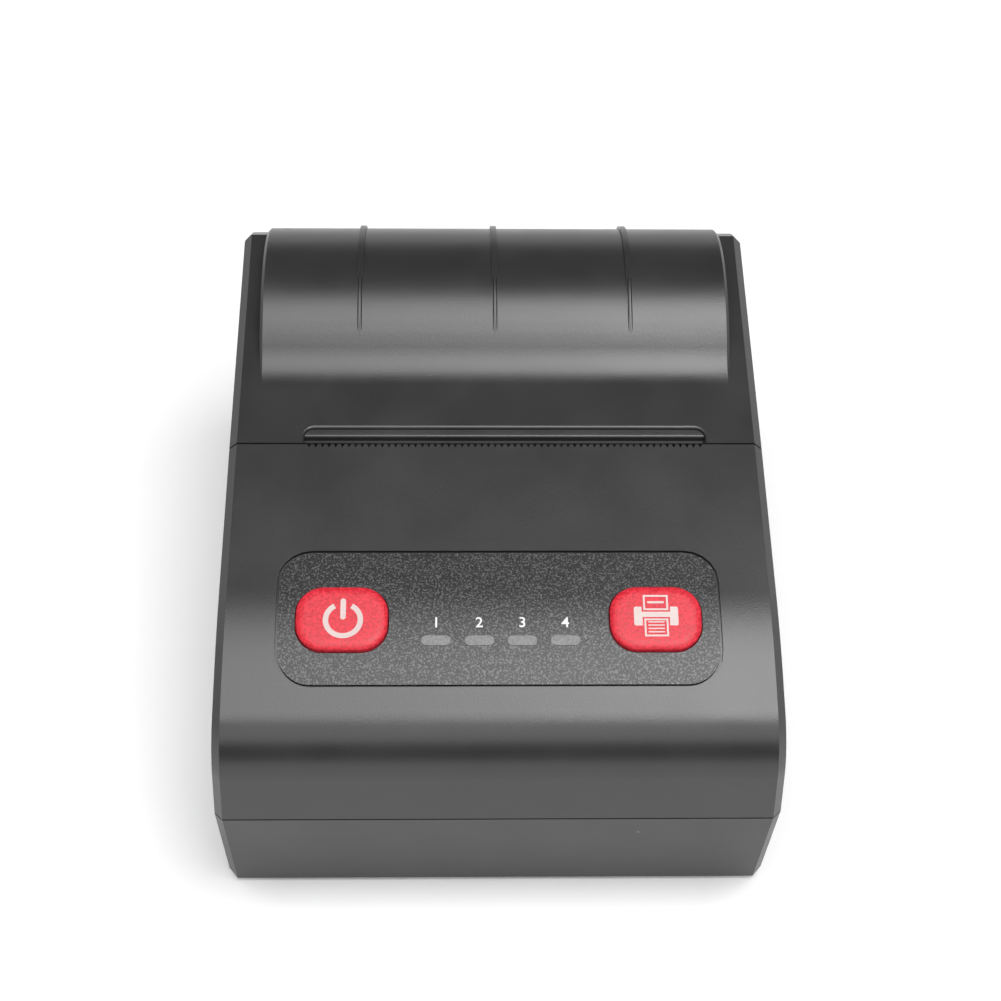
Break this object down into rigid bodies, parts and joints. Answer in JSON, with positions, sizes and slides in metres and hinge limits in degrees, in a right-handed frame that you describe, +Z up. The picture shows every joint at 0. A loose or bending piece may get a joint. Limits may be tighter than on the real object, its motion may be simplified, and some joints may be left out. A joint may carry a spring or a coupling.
{
  "type": "portable receipt printer",
  "caption": "Pocket receipt printer with a rear-hinged roll cover, press keys on a sloped panel, a serrated paper slot and a geared platen roller.",
  "frame": {"origin": "under the middle of the case, on the surface that the feet stand on", "axes": "+Z up, -Y towards the front face and the user, +X to the user's right; the cover hinges about X at the rear"},
  "size_m": [0.082, 0.102, 0.0571],
  "materials": {
    "case_plastic": "charcoal ABS with a fine spark-eroded grain and a soft satin sheen",
    "panel_film": "near-black film with a coarse sparkling grain",
    "key_red": "red translucent keycap with a grained skin and paler edges",
    "lamp_window": "grey diffusing light pipe, unlit",
    "inner_plastic": "black moulded nylon",
    "white_plastic": "natural acetal",
    "steel": "bright plated steel",
    "aluminium": "extruded, lightly satin",
    "head_ceramic": null,
    "platen_rubber": "ground matt rubber",
    "foot_rubber": "moulded matt rubber",
    "circuit_board": "green solder mask",
    "battery_wrap": "shrink-wrapped cell pack",
    "flex_film": "amber polyimide film"
  },
  "bodies": {
    "body": {"lower_case": "case_plastic", "front_shell": "case_plastic", "battery_door": "case_plastic", "control_overlay": "panel_film", "led_window_1": "lamp_window", "led_window_2": "lamp_window", "led_window_3": "lamp_window", "led_window_4": "lamp_window", "led_chip_1": "white_plastic", "led_chip_2": "white_plastic", "led_chip_3": "white_plastic", "led_chip_4": "white_plastic", "key_board": "circuit_board", "power_switch": "steel", "feed_switch": "steel", "hinge_pin": "steel", "gear_axle": "steel", "stepper_motor": "steel", "head_pivot_pin": "steel", "head_spring_left": "steel", "head_spring_right": "steel", "mechanism_frame": "steel", "paper_bucket": "inner_plastic", "battery_pack": "battery_wrap", "main_board": "circuit_board", "charging_socket": "steel", "radio_module": "steel", "battery_plug": "white_plastic", "paper_sensor": "inner_plastic", "cover_sensor": "inner_plastic", "head_flex_cable": "flex_film", "case_screw_1": "steel", "case_screw_2": "steel", "case_screw_3": "steel", "case_screw_4": "steel", "bucket_screw_1": "steel", "bucket_screw_2": "steel", "door_screw": "steel", "foot_1": "foot_rubber", "foot_2": "foot_rubber", "foot_3": "foot_rubber", "foot_4": "foot_rubber"},
    "cover": {"cover_shell": "case_plastic", "platen_bracket": "inner_plastic", "platen_bush_left": "white_plastic", "platen_bush_right": "white_plastic"},
    "platen": {"platen_shaft": "steel", "platen_rubber": "platen_rubber", "platen_gear": "white_plastic"},
    "reduction": {"reduction_gear": "white_plastic"},
    "pinion": {"motor_pinion": "steel"},
    "head": {"head_heat_sink": "aluminium", "thermal_head": "head_ceramic"},
    "power_key": {"power_button": "key_red"},
    "feed_key": {"feed_button": "key_red"}
  },
  "joints": [
    {"name": "cover_hinge", "type": "hinge", "parent": "body", "child": "cover", "pos_m": [0, 0.0473, 0.0213], "axis": [-1, 0, 0], "range_deg": [0, 95]},
    {"name": "platen_spin", "type": "hinge", "parent": "cover", "child": "platen", "pos_m": [0, 0.0048, 0.0385], "axis": [1, 0, 0], "continuous": true},
    {"name": "reduction_spin", "type": "hinge", "parent": "body", "child": "reduction", "pos_m": [0, 0.00232, 0.03063], "axis": [1, 0, 0], "continuous": true},
    {"name": "motor_spin", "type": "hinge", "parent": "body", "child": "pinion", "pos_m": [0, -0.00388, 0.02278], "axis": [1, 0, 0], "continuous": true},
    {"name": "head_pivot", "type": "hinge", "parent": "body", "child": "head", "pos_m": [0, -0.0024, 0.0335], "axis": [1, 0, 0], "range_deg": [0, 2], "stiffness_Nm_per_rad": 1.5},
    {"name": "power_press", "type": "slide", "parent": "body", "child": "power_key", "axis": [0, 0.2413, -0.9705], "range_m": [0, 0.0005], "stiffness_N_per_m": 900},
    {"name": "feed_press", "type": "slide", "parent": "body", "child": "feed_key", "axis": [0, 0.2413, -0.9705], "range_m": [0, 0.0005], "stiffness_N_per_m": 900}
  ],
  "couplings": [
    {"joint": "reduction_spin", "follows": "platen_spin", "ratio": -1.75},
    {"joint": "motor_spin", "follows": "platen_spin", "ratio": 5.25}
  ]
}
